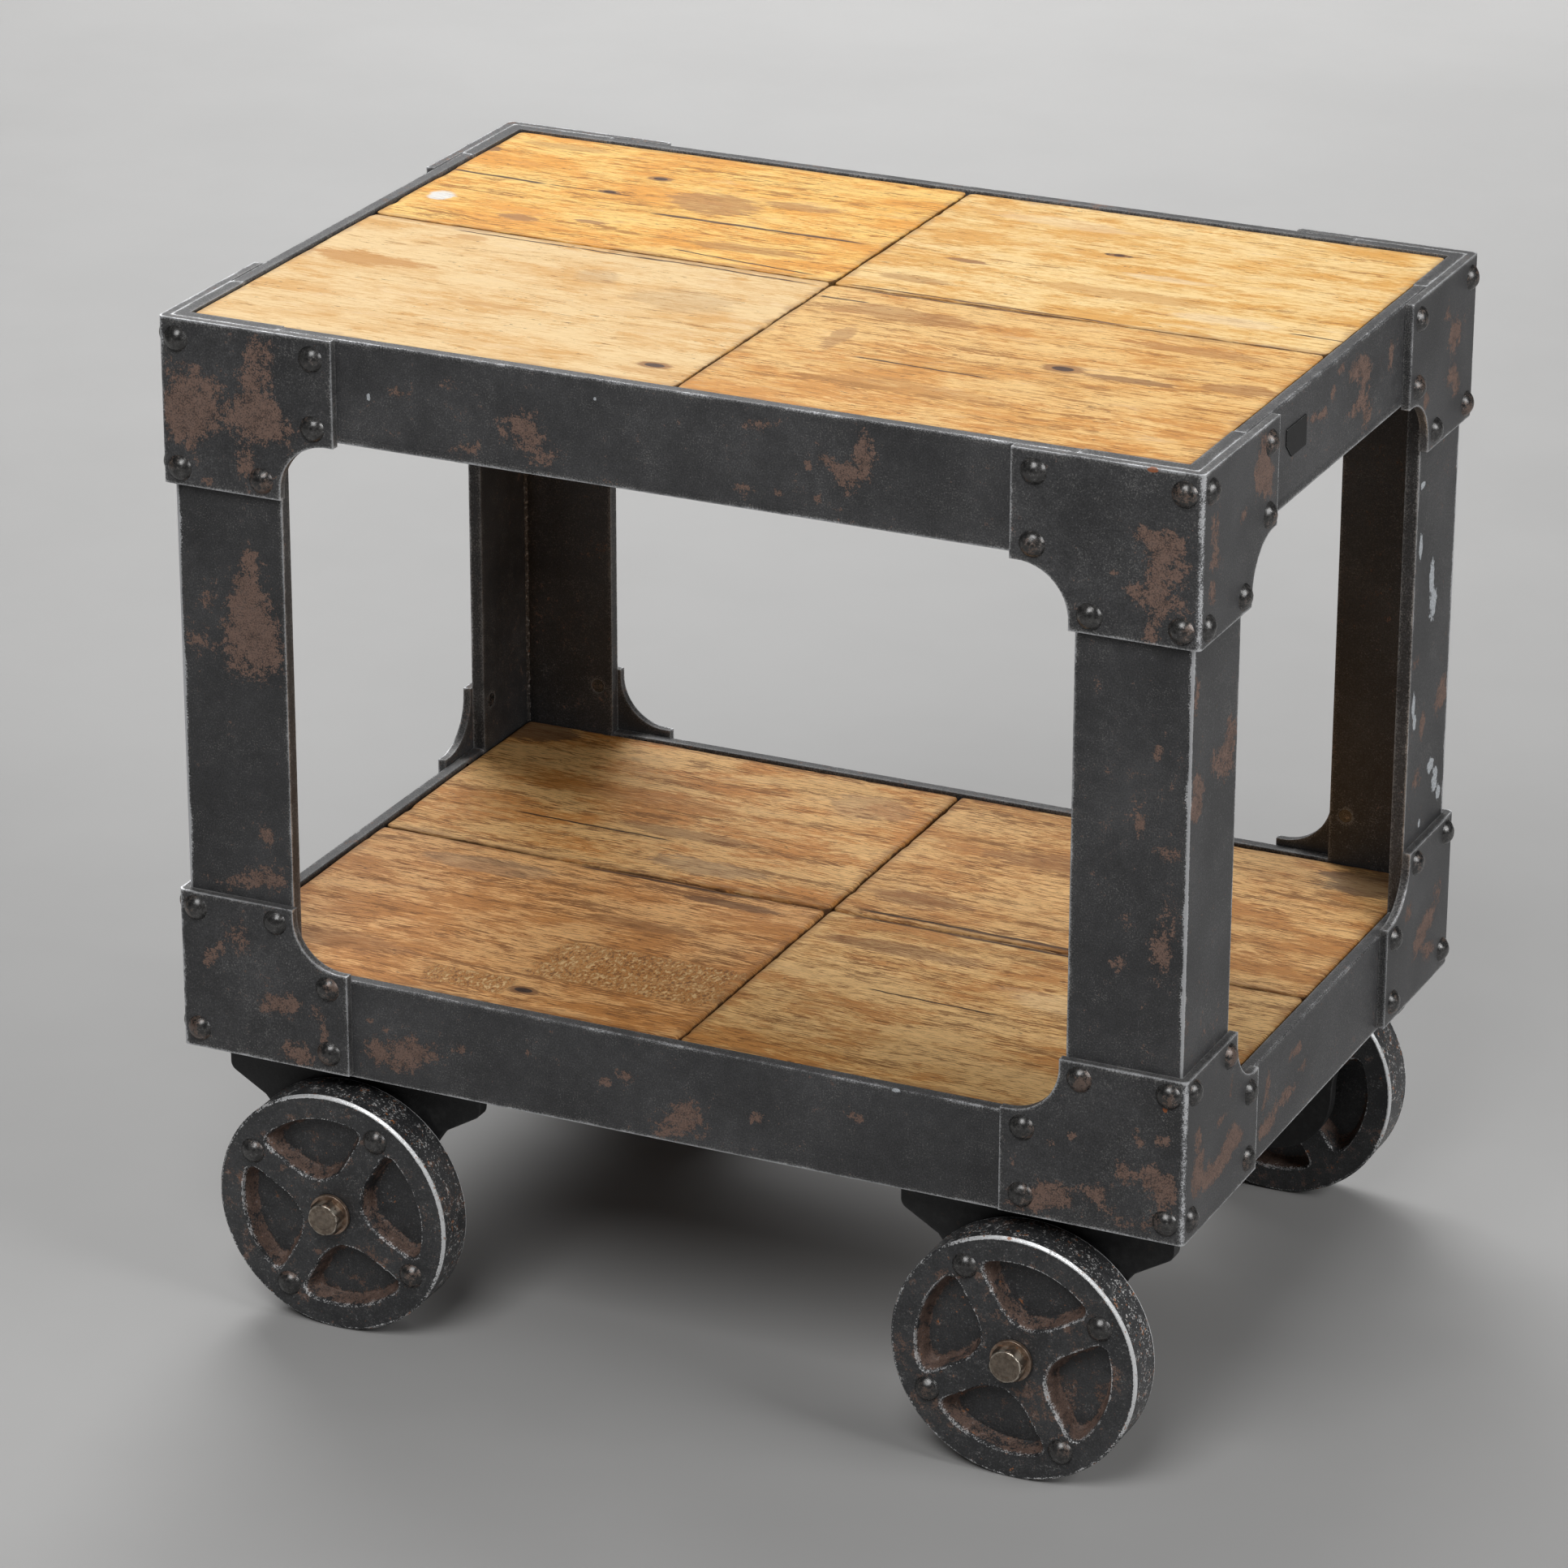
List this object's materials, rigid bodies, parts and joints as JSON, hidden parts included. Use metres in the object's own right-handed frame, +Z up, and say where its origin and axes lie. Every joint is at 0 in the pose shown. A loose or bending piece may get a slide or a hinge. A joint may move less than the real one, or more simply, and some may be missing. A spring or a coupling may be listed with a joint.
{
  "type": "rolling utility cart",
  "caption": "Low rolling cart: plank decks held in riveted angle-steel frames on corner legs, standing on fixed cast-iron wheels under hanging brackets.",
  "frame": {"origin": "on the floor, under the middle of the cart", "axes": "+X to the right along the cart, +Y from front to back along the wheel axles, +Z up"},
  "size_m": [0.6088, 0.439, 0.582],
  "materials": {
    "leg_steel": "blackened angle steel, worn and mottled with brown",
    "rail_steel": "blackened angle steel, edges worn bright",
    "plate_steel": "blackened bent plate, edges worn bright, brown patches",
    "rivet_steel": "hammered dome heads, dark and slightly glossy",
    "top_wood": "waxed old pine",
    "shelf_wood": "waxed old pine, rougher and browner",
    "bar_steel": "black mill scale",
    "zinc_screws": "dull zinc plate",
    "bracket_steel": "blackened steel",
    "wheel_iron": "cast skin, dark, rim edge worn bright",
    "bush_bronze": "oiled bronze",
    "axle_steel": "dull steel with light brown rust",
    "tag_black": "matt black, blank"
  },
  "bodies": {
    "cart_frame": {"leg_front_left": "leg_steel", "leg_front_right": "leg_steel", "leg_back_left": "leg_steel", "leg_back_right": "leg_steel", "upper_rail_front": "rail_steel", "upper_rail_back": "rail_steel", "upper_rail_left": "rail_steel", "upper_rail_right": "rail_steel", "upper_plate_front_left": "plate_steel", "upper_plate_front_right": "plate_steel", "upper_plate_back_left": "plate_steel", "upper_plate_back_right": "plate_steel", "upper_plate_rivets": "rivet_steel", "lower_rail_front": "rail_steel", "lower_rail_back": "rail_steel", "lower_rail_left": "rail_steel", "lower_rail_right": "rail_steel", "lower_plate_front_left": "plate_steel", "lower_plate_front_right": "plate_steel", "lower_plate_back_left": "plate_steel", "lower_plate_back_right": "plate_steel", "lower_plate_rivets": "rivet_steel", "upper_plank_front_left": "top_wood", "upper_plank_front_right": "top_wood", "upper_plank_back_left": "top_wood", "upper_plank_back_right": "top_wood", "lower_plank_front_left": "shelf_wood", "lower_plank_front_right": "shelf_wood", "lower_plank_back_left": "shelf_wood", "lower_plank_back_right": "shelf_wood", "upper_cross_bar": "bar_steel", "upper_bar_packer": "bar_steel", "upper_deck_screws": "zinc_screws", "lower_cross_bar": "bar_steel", "lower_bar_packer": "bar_steel", "lower_deck_screws": "zinc_screws", "wheel_bracket_front_left": "bracket_steel", "wheel_bracket_front_right": "bracket_steel", "wheel_bracket_back_left": "bracket_steel", "wheel_bracket_back_right": "bracket_steel", "bracket_lag_screws": "zinc_screws", "bracket_washers": "zinc_screws", "axle_bolts": "axle_steel", "axle_washers": "axle_steel", "axle_nuts": "axle_steel", "rail_tag": "tag_black"},
    "wheel_front_left_body": {"wheel_front_left": "wheel_iron", "wheel_studs_front_left": "rivet_steel", "wheel_bush_front_left": "bush_bronze"},
    "wheel_front_right_body": {"wheel_front_right": "wheel_iron", "wheel_studs_front_right": "rivet_steel", "wheel_bush_front_right": "bush_bronze"},
    "wheel_back_left_body": {"wheel_back_left": "wheel_iron", "wheel_studs_back_left": "rivet_steel", "wheel_bush_back_left": "bush_bronze"},
    "wheel_back_right_body": {"wheel_back_right": "wheel_iron", "wheel_studs_back_right": "rivet_steel", "wheel_bush_back_right": "bush_bronze"}
  },
  "joints": [
    {"name": "wheel_front_left_spin", "type": "hinge", "parent": "cart_frame", "child": "wheel_front_left_body", "pos_m": [-0.2064, -0.1955, 0.07125], "axis": [0, 1, 0], "continuous": true},
    {"name": "wheel_front_right_spin", "type": "hinge", "parent": "cart_frame", "child": "wheel_front_right_body", "pos_m": [0.2064, -0.1955, 0.07125], "axis": [0, 1, 0], "continuous": true},
    {"name": "wheel_back_left_spin", "type": "hinge", "parent": "cart_frame", "child": "wheel_back_left_body", "pos_m": [-0.2064, 0.1955, 0.07125], "axis": [0, 1, 0], "continuous": true},
    {"name": "wheel_back_right_spin", "type": "hinge", "parent": "cart_frame", "child": "wheel_back_right_body", "pos_m": [0.2064, 0.1955, 0.07125], "axis": [0, 1, 0], "continuous": true}
  ]
}
